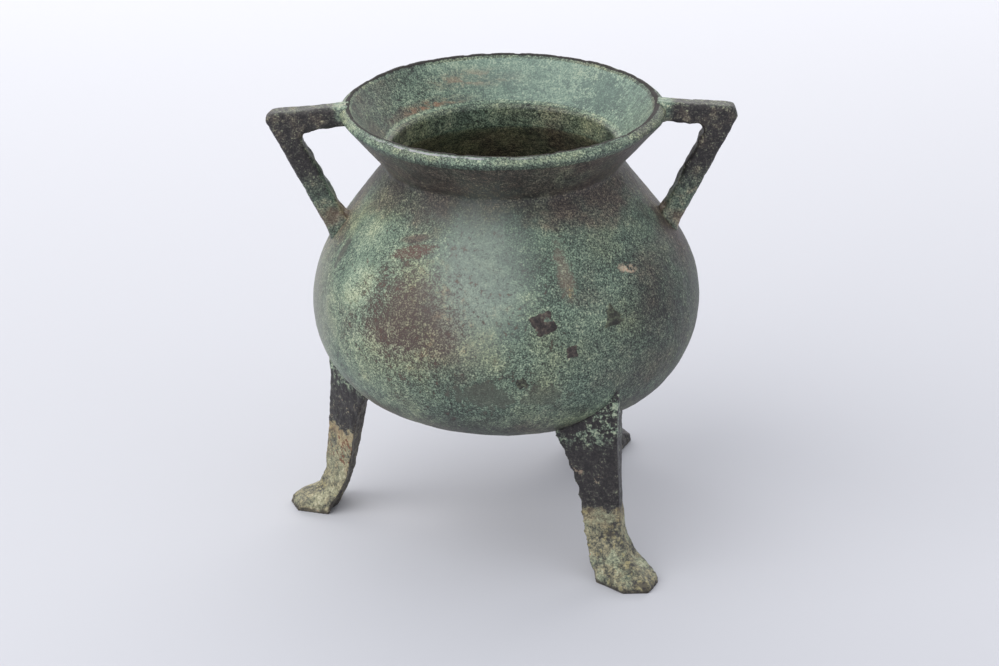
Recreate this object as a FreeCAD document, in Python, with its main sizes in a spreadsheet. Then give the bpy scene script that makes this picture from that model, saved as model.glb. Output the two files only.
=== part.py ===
import FreeCAD, Part
import math
import os
import Sketcher

# Cast copper-alloy tripod cauldron: a round-bellied pot with a funnel rim, two angular
# ears and three ridged legs with feet.  Millimetres, +Z up, origin on the ground under
# the pot's axis, ears along X.  Radii and "reach" values are measured from that axis.

POT = {
    "rim_height": 230.2,
    "lip_radius": 82.5,
    "crest_radius": 78.8,
    "lip_round": 1.5,
    "lip_thickness": 5.9,
    "neck_radius": 61.1,
    "neck_height": 200.0,
    "neck_round": 4.0,
    "belly_radius": 100.0,
    "belly_height": 125.0,
    "upper_round": 62.6,
    "lower_round": 55.0,
    "base_height": 60.8,
    "wall": 3.1,
    "base_wall": 3.7,
    "inner_lower_round": 51.0,
    "throat_radius": 58.0,
    "throat_top": 208.5,
    "throat_bottom": 197.9,
    "ridge_radius": 60.6,
    "ridge_height": 209.8,
    "sprue_length": 34.0,
    "sprue_width": 12.0,
    "sprue_depth": 1.4,
    "sprue_root": 3.0,
}

EAR = {
    "ear_depth": 11.0,
    "ear_edge_round": 2.2,
    "ear_corner_round": 2.6,
    "ear_eye_round": 4.0,
    "ear_root_reach": 80.0,
    "ear_root_height": 231.7,
    "ear_under_height": 221.8,
    "ear_shoulder_reach": 118.4,
    "ear_shoulder_height": 228.6,
    "ear_foot_height": 155.8,
    "left_tip_reach": 122.0,
    "left_tip_height": 225.4,
    "left_foot_reach": 87.0,
    "left_eye_reach": 105.0,
    "left_eye_height": 217.2,
    "left_heel_reach": 73.6,
    "right_tip_reach": 120.3,
    "right_tip_height": 223.2,
    "right_foot_reach": 85.0,
    "right_eye_reach": 104.0,
    "right_eye_height": 218.6,
    "right_heel_reach": 73.2,
}

# Leg sections from the ground up.  Each has its height, the reach of its outward ridge,
# the reach and half width of its two side edges, the reach of the rib down its back, and
# the knuckle of each flank between ridge and side: its share of the way out, and its
# half width as a share of the side edge's.
STATION_VALUES = ("height", "crest", "side", "half", "back", "share", "fullness")
STATIONS = {
    "sole": (0.0, 122.8, 95.0, 14.5, 92.0, 0.74, 0.80),
    "toe": (4.5, 122.2, 94.0, 14.8, 90.0, 0.70, 0.82),
    "instep": (12.0, 105.6, 88.8, 13.4, 86.3, 0.55, 0.74),
    "ankle": (21.0, 98.9, 84.8, 12.9, 83.3, 0.55, 0.60),
    "shin": (36.0, 97.6, 81.5, 13.4, 79.6, 0.55, 0.55),
    "calf": (50.0, 96.6, 79.5, 14.6, 77.0, 0.55, 0.54),
    "knee": (62.0, 95.7, 76.0, 17.0, 74.0, 0.55, 0.54),
    "root": (75.0, 95.6, 71.0, 20.6, 69.0, 0.55, 0.54),
    "crown": (118.0, 97.2, 65.0, 12.0, 63.0, 0.55, 0.50),
}
FOOT_STATIONS = ("sole", "toe", "instep")
ROOT_STATIONS = ("knee", "root", "crown")

LEG = {
    "back_channel": 1.4,
    "channel_share": 0.5,
    "left_leg_azimuth": 171.0,
    "front_leg_azimuth": -54.5,
    "back_leg_azimuth": 59.0,
    "left_foot_stretch": 0.84,
    "front_foot_stretch": 1.0,
    "back_foot_stretch": 0.90,
    "left_root_inset": 0.6,
    "front_root_inset": 0.0,
    "back_root_inset": 0.8,
}

# Chaplets are scraps of sheet that held the core off the mould and stayed in the wall.
# Each row: number of sides, circumscribed radius, azimuth, tilt of the outward normal
# above the horizontal, and turn about that normal.
CHAPLET_VALUES = ("sides", "radius", "azimuth", "tilt", "turn")
CHAPLETS = {
    "chaplet_front_large": (4, 7.6, -79.0, 21.0, 20.0),
    "chaplet_front_triangle": (3, 7.4, -57.0, 18.0, 75.0),
    "chaplet_front_small": (4, 3.6, -71.0, 6.5, 40.0),
    "chaplet_front_low": (4, 3.4, -86.0, -8.0, 10.0),
    "chaplet_right_upper": (4, 6.6, 24.0, 20.0, 15.0),
    "chaplet_back_upper": (5, 6.8, 96.0, 19.0, 30.0),
    "chaplet_left_upper": (4, 6.2, 148.0, 21.0, 50.0),
    "chaplet_back_lower": (3, 6.6, 86.0, -14.0, 10.0),
    "chaplet_left_lower": (4, 5.8, 128.0, -16.0, 35.0),
    "chaplet_base_front": (4, 6.4, -90.0, -76.0, 25.0),
    "chaplet_base_right": (4, 6.0, 10.0, -76.0, 5.0),
    "chaplet_base_back": (3, 6.8, 120.0, -76.0, 60.0),
}
CHAPLET_LENGTH = {"chaplet_length": 16.0}

# Two points nearer than this are the same corner, and tilts below this lie on the base.
CLOSE = 0.01
BASE_TILT = -60.0

doc = FreeCAD.newDocument("tripod_cauldron")
sheet = doc.addObject("Spreadsheet::Sheet", "Sizes")


def fill_sheet():
    """Write every driving dimension into the sheet, one aliased row each."""
    cells = {}
    for group in (POT, EAR, LEG, CHAPLET_LENGTH):
        cells.update(group)
    for names, table in ((STATION_VALUES, STATIONS), (CHAPLET_VALUES, CHAPLETS)):
        for row, values in table.items():
            for name, value in zip(names, values):
                cells[f"{row}_{name}"] = value
    for line, (alias, value) in enumerate(cells.items(), start=1):
        sheet.set(f"A{line}", alias)
        sheet.set(f"B{line}", str(value))
        sheet.setAlias(f"B{line}", alias)
    doc.recompute()


def size(expression):
    """Value of a sheet expression, as a plain number."""
    return float(sheet.evalExpression(expression))


def point(across, up):
    return FreeCAD.Vector(across, up, 0.0)


def origin_plane(body, role):
    return next(item for item in body.Origin.OriginFeatures if item.Role == role)


def new_sketch(body, name, role, lift=None):
    """Sketch on one of the body's own planes, lifted along its normal if asked."""
    sketch = body.newObject("Sketcher::SketchObject", name)
    sketch.AttachmentSupport = [(origin_plane(body, role), "")]
    sketch.MapMode = "FlatFace"
    if lift is not None:
        sketch.setExpression("AttachmentOffset.Base.z", lift)
    return sketch


def bind(sketch, kind, *where, to):
    """Add one dimension to a sketch and tie it to a sheet expression."""
    index = sketch.addConstraint(Sketcher.Constraint(kind, *where, size(to)))
    sketch.setExpression(f"Constraints[{index}]", to)


def bind_point(sketch, edge, end, across, up):
    """Fix a vertex at (across, up) from the sketch's origin."""
    bind(sketch, "DistanceX", -1, 1, edge, end, to=across)
    bind(sketch, "DistanceY", -1, 1, edge, end, to=up)


def arc_between(centre, start, end):
    """Counter-clockwise arc about centre from start to end."""
    radius = (start - centre).Length
    first = math.atan2(start.y - centre.y, start.x - centre.x)
    last = math.atan2(end.y - centre.y, end.x - centre.x)
    circle = Part.Circle(centre, FreeCAD.Vector(0, 0, 1), radius)
    return Part.ArcOfCircle(circle, first, last)


def base_circle_radius(offset, drop, small_radius):
    """Radius of a circle centred on the axis that passes through the base point and
    touches the lower belly circle from outside it; offset and drop place that circle's
    centre from the base point."""
    return (offset**2 + drop**2 - small_radius**2) / (2.0 * (drop - small_radius))


def along(start, towards, distance):
    return start + (towards - start).normalize() * distance


def tangent_direction(from_centre, from_radius, to_centre, to_radius, side):
    """Unit normal shared by two circles at the ends of their common tangent line.  A
    circle on the line's other side is given a negative radius."""
    gap = to_centre - from_centre
    heading = math.atan2(gap.y, gap.x)
    lean = math.acos((from_radius - to_radius) / gap.Length)
    angle = heading + side * lean
    return point(math.cos(angle), math.sin(angle))


START, END, CENTRE = 1, 2, 3
AXIS_ACROSS, AXIS_UP = -1, -2
CORNER, SMOOTH = "Coincident", "Tangent"


def chain(sketch, edges):
    """Add edges head to tail as a closed outline.  Each edge comes with the end where
    the outline leaves it, because some arcs are drawn the other way round, and with how
    it meets the next edge: at a corner, or smoothly."""
    numbers = [sketch.addGeometry(geometry, False) for geometry, leaves_at, joint in edges]
    for place, (geometry, leaves_at, joint) in enumerate(edges):
        follower = (place + 1) % len(edges)
        enters_at = START if edges[follower][1] == END else END
        sketch.addConstraint(Sketcher.Constraint(joint, numbers[place], leaves_at,
                                                 numbers[follower], enters_at))
    return numbers


def polygon(sketch, spots):
    """Closed outline of straight edges through the given vertices."""
    sides = zip(spots, spots[1:] + spots[:1])
    return chain(sketch, [(Part.LineSegment(start, end), END, CORNER) for start, end in sides])


def belly_arcs(base, upper_radius, lower_radius):
    """Centres and joints of the three arcs that make one side of the belly wall.  The
    widest point is the same height for every wall, base is the lowest point."""
    height = size("Sizes.belly_height")
    upper_centre = point(size("Sizes.belly_radius - Sizes.upper_round"), height)
    widest = upper_centre + point(upper_radius, 0)
    lower_centre = widest - point(lower_radius, 0)
    big = base_circle_radius(lower_centre.x, height - base, lower_radius)
    base_centre = point(0, base + big)
    turn = along(base_centre, lower_centre, big)
    return upper_centre, widest, lower_centre, base_centre, turn


def bind_belly(sketch, base_arc, lower_arc, upper_arc, base, lower, upper):
    """Dimensions shared by the outer and the inner wall's belly arcs."""
    sketch.addConstraint(Sketcher.Constraint("PointOnObject", base_arc, CENTRE, AXIS_UP))
    bind(sketch, "DistanceY", -1, 1, base_arc, START, to=base)
    bind(sketch, "Radius", lower_arc, to=lower)
    bind(sketch, "DistanceY", -1, 1, lower_arc, CENTRE, to="Sizes.belly_height")
    bind(sketch, "Radius", upper_arc, to=upper)
    centre = "Sizes.belly_radius - Sizes.upper_round"
    bind_point(sketch, upper_arc, CENTRE, centre, "Sizes.belly_height")


def envelope_sketch(body, name):
    """The pot as if it were solid: half section from the axis to its outer surface."""
    sketch = new_sketch(body, name, "XZ_Plane")
    rim = size("Sizes.rim_height")
    base = size("Sizes.base_height")
    rounding = size("Sizes.lip_round")
    upper, lower = size("Sizes.upper_round"), size("Sizes.lower_round")
    upper_centre, widest, lower_centre, base_centre, turn = belly_arcs(base, upper, lower)

    neck_round = size("Sizes.neck_round")
    neck_centre = point(size("Sizes.neck_radius") + neck_round, size("Sizes.neck_height"))
    crest_centre = point(size("Sizes.crest_radius"), rim - rounding)
    lip_reach = size("Sizes.lip_radius") - rounding
    spacing = size("Sizes.lip_thickness") - 2.0 * rounding
    drop = math.sqrt(spacing**2 - (lip_reach - crest_centre.x) ** 2)
    lip_centre = point(lip_reach, crest_centre.y - drop)

    shoulder_normal = tangent_direction(upper_centre, upper, neck_centre, -neck_round, -1)
    shoulder_low = upper_centre + shoulder_normal * upper
    shoulder_high = neck_centre - shoulder_normal * neck_round
    flare_normal = tangent_direction(neck_centre, neck_round, lip_centre, -rounding, 1)
    flare_low = neck_centre + flare_normal * neck_round
    flare_high = lip_centre - flare_normal * rounding
    face_normal = tangent_direction(lip_centre, rounding, crest_centre, rounding, -1)
    face_low = lip_centre + face_normal * rounding
    face_high = crest_centre + face_normal * rounding
    crest = crest_centre + point(0, rounding)

    numbers = chain(sketch, [
        (Part.LineSegment(point(0, rim), point(0, base)), END, CORNER),
        (arc_between(base_centre, point(0, base), turn), END, SMOOTH),
        (arc_between(lower_centre, turn, widest), END, SMOOTH),
        (arc_between(upper_centre, widest, shoulder_low), END, SMOOTH),
        (Part.LineSegment(shoulder_low, shoulder_high), END, SMOOTH),
        (arc_between(neck_centre, flare_low, shoulder_high), START, SMOOTH),
        (Part.LineSegment(flare_low, flare_high), END, SMOOTH),
        (arc_between(lip_centre, flare_high, face_low), END, SMOOTH),
        (Part.LineSegment(face_low, face_high), END, SMOOTH),
        (arc_between(crest_centre, face_high, crest), END, SMOOTH),
        (Part.LineSegment(crest, point(0, rim)), END, CORNER),
    ])
    axis, base_arc, lower_arc, upper_arc = numbers[:4]
    neck, lip, face, crown, top = (numbers[place] for place in (5, 7, 8, 9, 10))

    sketch.addConstraint(Sketcher.Constraint("PointOnObject", axis, START, AXIS_UP))
    sketch.addConstraint(Sketcher.Constraint("PointOnObject", axis, END, AXIS_UP))
    sketch.addConstraint(Sketcher.Constraint("Horizontal", top))
    bind_belly(sketch, base_arc, lower_arc, upper_arc,
               "Sizes.base_height", "Sizes.lower_round", "Sizes.upper_round")
    bind(sketch, "Radius", neck, to="Sizes.neck_round")
    bind_point(sketch, neck, CENTRE, "Sizes.neck_radius + Sizes.neck_round", "Sizes.neck_height")
    bind(sketch, "Radius", lip, to="Sizes.lip_round")
    bind(sketch, "DistanceX", -1, 1, lip, CENTRE, to="Sizes.lip_radius - Sizes.lip_round")
    bind(sketch, "Distance", face, to="Sizes.lip_thickness - 2 * Sizes.lip_round")
    bind(sketch, "Radius", crown, to="Sizes.lip_round")
    bind_point(sketch, crown, CENTRE, "Sizes.crest_radius", "Sizes.rim_height - Sizes.lip_round")
    return sketch


def cavity_sketch(body, name):
    """Half section of the hollow: funnel mouth, short throat and the belly inside."""
    sketch = new_sketch(body, name, "XZ_Plane")
    rim = size("Sizes.rim_height")
    floor = size("Sizes.base_height + Sizes.base_wall")
    rounding = size("Sizes.lip_round")
    upper = size("Sizes.upper_round - Sizes.wall")
    lower = size("Sizes.inner_lower_round")
    upper_centre, widest, lower_centre, base_centre, turn = belly_arcs(floor, upper, lower)

    crest_centre = point(size("Sizes.crest_radius"), rim - rounding)
    crest = crest_centre + point(0, rounding)
    ridge = point(size("Sizes.ridge_radius"), size("Sizes.ridge_height"))
    throat_top = point(size("Sizes.throat_radius"), size("Sizes.throat_top"))
    throat_bottom = point(size("Sizes.throat_radius"), size("Sizes.throat_bottom"))
    mouth_normal = tangent_direction(crest_centre, rounding, ridge, 0.0, -1)
    mouth = crest_centre + mouth_normal * rounding
    shoulder_normal = tangent_direction(upper_centre, upper, throat_bottom, 0.0, -1)
    shoulder = upper_centre + shoulder_normal * upper

    numbers = chain(sketch, [
        (Part.LineSegment(point(0, floor), point(0, rim)), END, CORNER),
        (Part.LineSegment(point(0, rim), crest), END, SMOOTH),
        (arc_between(crest_centre, crest, mouth), END, SMOOTH),
        (Part.LineSegment(mouth, ridge), END, CORNER),
        (Part.LineSegment(ridge, throat_top), END, CORNER),
        (Part.LineSegment(throat_top, throat_bottom), END, CORNER),
        (Part.LineSegment(throat_bottom, shoulder), END, SMOOTH),
        (arc_between(upper_centre, widest, shoulder), START, SMOOTH),
        (arc_between(lower_centre, turn, widest), START, SMOOTH),
        (arc_between(base_centre, point(0, floor), turn), START, CORNER),
    ])
    axis, top, crown, funnel = numbers[:4]
    throat = numbers[5]
    upper_arc, lower_arc, base_arc = numbers[7:]

    sketch.addConstraint(Sketcher.Constraint("PointOnObject", axis, START, AXIS_UP))
    sketch.addConstraint(Sketcher.Constraint("PointOnObject", axis, END, AXIS_UP))
    sketch.addConstraint(Sketcher.Constraint("Horizontal", top))
    bind_belly(sketch, base_arc, lower_arc, upper_arc, "Sizes.base_height + Sizes.base_wall",
               "Sizes.inner_lower_round", "Sizes.upper_round - Sizes.wall")
    bind(sketch, "Radius", crown, to="Sizes.lip_round")
    bind_point(sketch, crown, CENTRE, "Sizes.crest_radius", "Sizes.rim_height - Sizes.lip_round")
    bind_point(sketch, funnel, END, "Sizes.ridge_radius", "Sizes.ridge_height")
    bind_point(sketch, throat, START, "Sizes.throat_radius", "Sizes.throat_top")
    bind_point(sketch, throat, END, "Sizes.throat_radius", "Sizes.throat_bottom")
    return sketch


def turned(body, kind, name, sketch):
    """Revolve a half section a full turn about the pot's axis."""
    feature = body.newObject(kind, name)
    feature.Profile = sketch
    feature.ReferenceAxis = (sketch, ["V_Axis"])
    feature.Angle = 360.0
    return feature


def trim_to_pot(body):
    """Take away whatever of a piece would lie inside the pot's outer surface."""
    turned(body, "PartDesign::Groove", "pot_trim", envelope_sketch(body, "pot_envelope"))


def pot_casting():
    """The turned shell with the stub of the pouring channel under its base."""
    body = doc.addObject("PartDesign::Body", "pot_casting")
    turned(body, "PartDesign::Revolution", "pot_solid", envelope_sketch(body, "outer_wall"))
    turned(body, "PartDesign::Groove", "pot_hollow", cavity_sketch(body, "inner_wall"))

    scar = new_sketch(body, "sprue_outline", "XY_Plane", "Sizes.base_height - Sizes.sprue_depth")
    half_length = size("(Sizes.sprue_length - Sizes.sprue_width) / 2")
    half_width = size("Sizes.sprue_width / 2")
    right, left = point(half_length, 0), point(-half_length, 0)
    side = point(0, half_width)
    numbers = chain(scar, [
        (Part.LineSegment(left - side, right - side), END, SMOOTH),
        (arc_between(right, right - side, right + side), END, SMOOTH),
        (Part.LineSegment(right + side, left + side), END, SMOOTH),
        (Part.ArcOfCircle(Part.Circle(left, FreeCAD.Vector(0, 0, 1), half_width),
                          math.pi / 2, 3 * math.pi / 2), END, SMOOTH),
    ])
    near, right_end, far, left_end = numbers
    scar.addConstraint(Sketcher.Constraint("Horizontal", near))
    scar.addConstraint(Sketcher.Constraint("Symmetric", right_end, CENTRE, left_end, CENTRE,
                                           AXIS_ACROSS, START))
    bind(scar, "Radius", right_end, to="Sizes.sprue_width / 2")
    bind(scar, "DistanceX", left_end, CENTRE, right_end, CENTRE,
         to="Sizes.sprue_length - Sizes.sprue_width")
    stub = body.newObject("PartDesign::Pad", "sprue_scar")
    stub.Profile = scar
    stub.setExpression("Length", "Sizes.sprue_depth + Sizes.sprue_root")
    return body


def edges_where(shape, test):
    """Names of the edges whose every vertex passes the test."""
    return [f"Edge{number}" for number, edge in enumerate(shape.Edges, start=1)
            if all(test(vertex.Point) for vertex in edge.Vertexes)]


def rounded(body, base, name, edges, radius):
    fillet = body.newObject("PartDesign::Fillet", name)
    fillet.Base = (base, edges)
    fillet.setExpression("Radius", radius)
    doc.recompute()
    return fillet


def ear(side):
    """Angular ear: a bar out from the rim, turned back down to the shoulder."""
    body = doc.addObject("PartDesign::Body", f"handle_{side}")
    sketch = new_sketch(body, "ear_outline", "XZ_Plane")
    shoulder = ("Sizes.ear_shoulder_reach", "Sizes.ear_shoulder_height")
    tip = (f"Sizes.{side}_tip_reach", f"Sizes.{side}_tip_height")
    eye = (f"Sizes.{side}_eye_reach", f"Sizes.{side}_eye_height")
    corners = [
        ("Sizes.ear_root_reach", "Sizes.ear_root_height"),
        shoulder,
        tip,
        (f"Sizes.{side}_foot_reach", "Sizes.ear_foot_height"),
        (f"Sizes.{side}_heel_reach", "Sizes.ear_foot_height"),
        eye,
        ("Sizes.ear_root_reach", "Sizes.ear_under_height"),
    ]
    spots = [point(size(across), size(up)) for across, up in corners]
    numbers = polygon(sketch, spots)
    for number, (across, up) in zip(numbers, corners):
        bind_point(sketch, number, START, across, up)
    bar = body.newObject("PartDesign::Pad", "ear_bar")
    bar.Profile = sketch
    bar.Midplane = True
    bar.setExpression("Length", "Sizes.ear_depth")
    doc.recompute()

    def at(corner):
        x, z = (size(value) for value in corner)
        return lambda spot: math.hypot(spot.x - x, spot.z - z) < CLOSE

    ends = edges_where(bar.Shape, at(shoulder)) + edges_where(bar.Shape, at(tip))
    outer = rounded(body, bar, "ear_tip_round", ends, "Sizes.ear_corner_round")
    inner = rounded(body, outer, "ear_eye_round", edges_where(outer.Shape, at(eye)),
                    "Sizes.ear_eye_round")
    half_depth = size("Sizes.ear_depth") / 2.0
    long_edges = [name for name in
                  edges_where(inner.Shape, lambda spot: abs(abs(spot.y) - half_depth) < CLOSE)
                  if inner.Shape.getElement(name).BoundBox.YLength < CLOSE]
    rounded(body, inner, "ear_edge_round", long_edges, "Sizes.ear_edge_round")
    trim_to_pot(body)
    if side == "left":
        body.Placement = FreeCAD.Placement(FreeCAD.Vector(), FreeCAD.Rotation(180, 0, 0))
    return body


def leg_section(body, station, side):
    """One level outline of a leg, ridge outward along the sketch's first axis."""
    values = {name: f"Sizes.{station}_{name}" for name in STATION_VALUES}
    sketch = new_sketch(body, f"section_{station}", "XY_Plane", values["height"])
    crest = values["crest"]
    if station in FOOT_STATIONS:
        crest = f"{values['side']} + ({crest} - {values['side']}) * Sizes.{side}_foot_stretch"
    if station in ROOT_STATIONS:
        crest = f"{crest} - Sizes.{side}_root_inset"
    flank = f"{values['side']} + ({crest} - {values['side']}) * {values['share']}"
    flank_half = f"{values['half']} * {values['fullness']}"
    channel = f"({values['side']} + {values['back']}) / 2 + Sizes.back_channel"
    channel_half = f"{values['half']} * Sizes.channel_share"
    half_outline = [
        (crest, None),
        (flank, flank_half),
        (values["side"], values["half"]),
        (channel, channel_half),
        (values["back"], None),
    ]
    upper = [point(size(across), size(out) if out else 0.0) for across, out in half_outline]
    mirrored = [point(spot.x, -spot.y) for spot in upper[-2:0:-1]]
    spots = upper + mirrored
    numbers = polygon(sketch, spots)
    for number, (across, out) in zip(numbers, half_outline):
        if out:
            bind_point(sketch, number, START, across, out)
            twin = numbers[len(numbers) - number]
            sketch.addConstraint(Sketcher.Constraint("Symmetric", number, START, twin, START,
                                                     AXIS_ACROSS))
        else:
            sketch.addConstraint(Sketcher.Constraint("PointOnObject", number, START,
                                                     AXIS_ACROSS))
            bind(sketch, "DistanceX", -1, 1, number, START, to=across)
    return sketch


def leg(side):
    """Ridged leg lofted from its level sections, foot included, trimmed to the belly."""
    body = doc.addObject("PartDesign::Body", f"leg_{side}")
    sections = [leg_section(body, station, side) for station in STATIONS]
    doc.recompute()
    loft = body.newObject("PartDesign::AdditiveLoft", "leg_shank")
    loft.Profile = sections[0]
    loft.Sections = sections[1:]
    loft.Ruled = True
    doc.recompute()
    trim_to_pot(body)
    turn = FreeCAD.Rotation(FreeCAD.Vector(0, 0, 1), 0.0)
    body.Placement = FreeCAD.Placement(FreeCAD.Vector(), turn)
    body.setExpression("Placement.Rotation.Angle", f"Sizes.{side}_leg_azimuth")
    return body


def chaplet_blank(name):
    """Prism through the wall, standing on the surface normal of its place."""
    blank = doc.addObject("Part::Prism", f"{name}_blank")
    blank.Polygon = int(size(f"Sizes.{name}_sides"))
    blank.setExpression("Circumradius", f"Sizes.{name}_radius")
    blank.setExpression("Height", "Sizes.chaplet_length")
    tilt = size(f"Sizes.{name}_tilt")
    if tilt > 0:
        centre = point(size("Sizes.belly_radius - Sizes.upper_round"), size("Sizes.belly_height"))
        radius = size("Sizes.upper_round")
    elif tilt > BASE_TILT:
        centre = point(size("Sizes.belly_radius - Sizes.lower_round"), size("Sizes.belly_height"))
        radius = size("Sizes.lower_round")
    else:
        offset = size("Sizes.belly_radius - Sizes.lower_round")
        drop = size("Sizes.belly_height - Sizes.base_height")
        radius = base_circle_radius(offset, drop, size("Sizes.lower_round"))
        centre = point(0, size("Sizes.base_height") + radius)
    reach = radius - size("Sizes.chaplet_length") / 2.0
    out = point(math.cos(math.radians(tilt)), math.sin(math.radians(tilt)))
    foot = centre + out * reach
    axis_z = FreeCAD.Vector(0, 0, 1)
    stand = FreeCAD.Rotation(FreeCAD.Vector(0, 1, 0), 90.0 - tilt)
    spin = FreeCAD.Rotation(axis_z, size(f"Sizes.{name}_turn"))
    swing = FreeCAD.Rotation(axis_z, size(f"Sizes.{name}_azimuth"))
    start = swing.multVec(FreeCAD.Vector(foot.x, 0, foot.y))
    blank.Placement = FreeCAD.Placement(start, swing * stand * spin)
    return blank


def chaplet(name, casting, blank):
    """The part of the blank that lies in the wall, flush with it inside and out."""
    piece = doc.addObject("Part::Common", name)
    piece.Base = casting
    piece.Tool = blank
    return piece


def write_parts(pieces):
    """Refuse a failed document, then write each sub-part to its own file."""
    doc.recompute()
    for item in doc.Objects:
        if "Invalid" in item.State or "Error" in item.State:
            raise RuntimeError(f"{item.Name} failed: {item.State}")
    os.makedirs("parts", exist_ok=True)
    for piece in pieces:
        shape = piece.Shape
        if shape.isNull() or not shape.isValid() or not shape.Solids:
            raise RuntimeError(f"{piece.Label} has no valid solid")
        print(f"{piece.Label}: {len(shape.Solids)} solid, {shape.Volume:.0f} mm3")
    for piece in pieces:
        piece.Shape.exportStep(f"parts/{piece.Label}.step")


fill_sheet()
casting = pot_casting()
ears = [ear(side) for side in ("left", "right")]
legs = [leg(side) for side in ("left", "front", "back")]
blanks = [chaplet_blank(name) for name in CHAPLETS]
chaplets = [chaplet(name, casting, blank) for name, blank in zip(CHAPLETS, blanks)]

pockets = doc.addObject("Part::MultiFuse", "chaplet_pockets")
pockets.Shapes = blanks
vessel = doc.addObject("Part::Cut", "vessel_body")
vessel.Base = casting
vessel.Tool = pockets

write_parts([vessel] + ears + legs + chaplets)
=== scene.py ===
"""Cast copper-alloy tripod cauldron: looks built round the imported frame. Metres."""
import math

import bmesh
import bpy
import numpy as np
from mathutils import Matrix, Vector


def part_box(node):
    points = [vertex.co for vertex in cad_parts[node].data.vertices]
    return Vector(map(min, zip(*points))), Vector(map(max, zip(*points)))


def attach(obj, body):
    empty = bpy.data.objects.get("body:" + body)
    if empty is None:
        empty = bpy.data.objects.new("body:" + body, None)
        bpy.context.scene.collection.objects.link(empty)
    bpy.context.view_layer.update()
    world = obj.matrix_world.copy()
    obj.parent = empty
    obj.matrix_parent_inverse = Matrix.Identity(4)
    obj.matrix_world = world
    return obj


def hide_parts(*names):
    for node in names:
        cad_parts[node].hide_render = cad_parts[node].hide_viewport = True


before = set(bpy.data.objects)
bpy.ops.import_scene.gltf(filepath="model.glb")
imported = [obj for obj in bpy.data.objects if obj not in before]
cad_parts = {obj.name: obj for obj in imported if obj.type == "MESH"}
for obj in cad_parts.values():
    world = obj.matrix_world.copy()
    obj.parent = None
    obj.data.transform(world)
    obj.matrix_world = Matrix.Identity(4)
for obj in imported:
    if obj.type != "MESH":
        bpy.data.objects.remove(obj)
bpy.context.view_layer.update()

MM = 0.001
CAST_GRID = 0.0008
TURNING_PITCH = 0.0062
ROOT_SINK_MM = 1.3
SCRAP_PROUD_MM = 0.34
SCRAP_DEPTH_MM = 1.2


# ---------------------------------------------------------------- camera, floor, light

FOCAL_MM = 151.57
CAMERA_DISTANCE = 2.200
CAMERA_ELEVATION = math.radians(22.678)
CAMERA_ROLL = math.radians(0.91)
CAMERA_TARGET = Vector((-0.00356, 0.0, 0.10355))


def make_camera():
    data = bpy.data.cameras.new("photo_camera")
    data.lens = FOCAL_MM
    data.sensor_width = 36.0
    data.clip_end = 50.0
    camera = bpy.data.objects.new("photo_camera", data)
    back = Vector((0.0, -math.cos(CAMERA_ELEVATION), math.sin(CAMERA_ELEVATION)))
    camera.rotation_mode = "QUATERNION"
    aim = (-back).to_track_quat("-Z", "Y")
    roll = Matrix.Rotation(-CAMERA_ROLL, 4, "Z").to_quaternion()
    camera.location = CAMERA_TARGET + back * CAMERA_DISTANCE
    camera.rotation_quaternion = aim @ roll
    bpy.context.collection.objects.link(camera)
    bpy.context.scene.camera = camera


def make_floor():
    """Pale table that sweeps up into a backdrop on every side but the front."""
    reach, curve_start, height, steps = 9.0, 3.2, 4.5, 24
    rings = [(0.0, 0.0), (curve_start, 0.0)]
    for step in range(1, steps + 1):
        turn = math.pi / 2 * step / steps
        rings.append((curve_start + (reach - curve_start) * math.sin(turn),
                      height * (1.0 - math.cos(turn))))
    verts, faces, sides = [(0.0, 0.0, 0.0)], [], 96
    for radius, z in rings[1:]:
        for side in range(sides):
            angle = 2.0 * math.pi * side / sides
            verts.append((radius * math.cos(angle), radius * math.sin(angle), z))
    for side in range(sides):
        faces.append((0, 1 + side, 1 + (side + 1) % sides))
    for ring in range(len(rings) - 2):
        for side in range(sides):
            a = 1 + ring * sides + side
            b = 1 + ring * sides + (side + 1) % sides
            faces.append((a, a + sides, b + sides, b))
    mesh = bpy.data.meshes.new("floor")
    mesh.from_pydata(verts, [], faces)
    mesh.shade_smooth()
    floor = bpy.data.objects.new("floor", mesh)
    bpy.context.collection.objects.link(floor)
    material = bpy.data.materials.new("pale_paper")
    material.use_nodes = True
    shader = material.node_tree.nodes["Principled BSDF"]
    shader.inputs["Base Color"].default_value = (0.600, 0.608, 0.650, 1.0)
    shader.inputs["Roughness"].default_value = 0.9
    shader.inputs["Specular IOR Level"].default_value = 0.1
    mesh.materials.append(material)


def area_light(name, place, aim, size, watts, colour):
    data = bpy.data.lights.new(name, "AREA")
    data.shape = "RECTANGLE"
    data.size, data.size_y = size
    data.energy = watts
    data.color = colour
    light = bpy.data.objects.new(name, data)
    light.location = place
    light.rotation_mode = "QUATERNION"
    light.rotation_quaternion = (Vector(aim) - Vector(place)).to_track_quat("-Z", "Y")
    light.visible_camera = False
    bpy.context.collection.objects.link(light)


def make_lights():
    area_light("key", (-1.2, -1.0, 1.7), (0.0, 0.0, 0.12), (2.7, 2.2), 35.0, (1.0, 0.985, 0.96))
    area_light("fill", (1.9, -1.5, 1.0), (0.0, 0.0, 0.12), (1.8, 1.4), 5.0, (0.96, 0.97, 1.0))
    area_light("back", (0.0, 1.65, 1.1), (0.0, 1.10, 0.0), (3.4, 0.9), 30.0, (1.0, 0.97, 0.93))
    world = bpy.data.worlds.new("studio")
    bpy.context.scene.world = world
    world.use_nodes = True
    background = world.node_tree.nodes["Background"]
    background.inputs["Color"].default_value = (0.93, 0.95, 1.0, 1.0)
    background.inputs["Strength"].default_value = 0.76
    bpy.context.scene.view_settings.view_transform = "Standard"


# ---------------------------------------------------------------- noise on points

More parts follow.
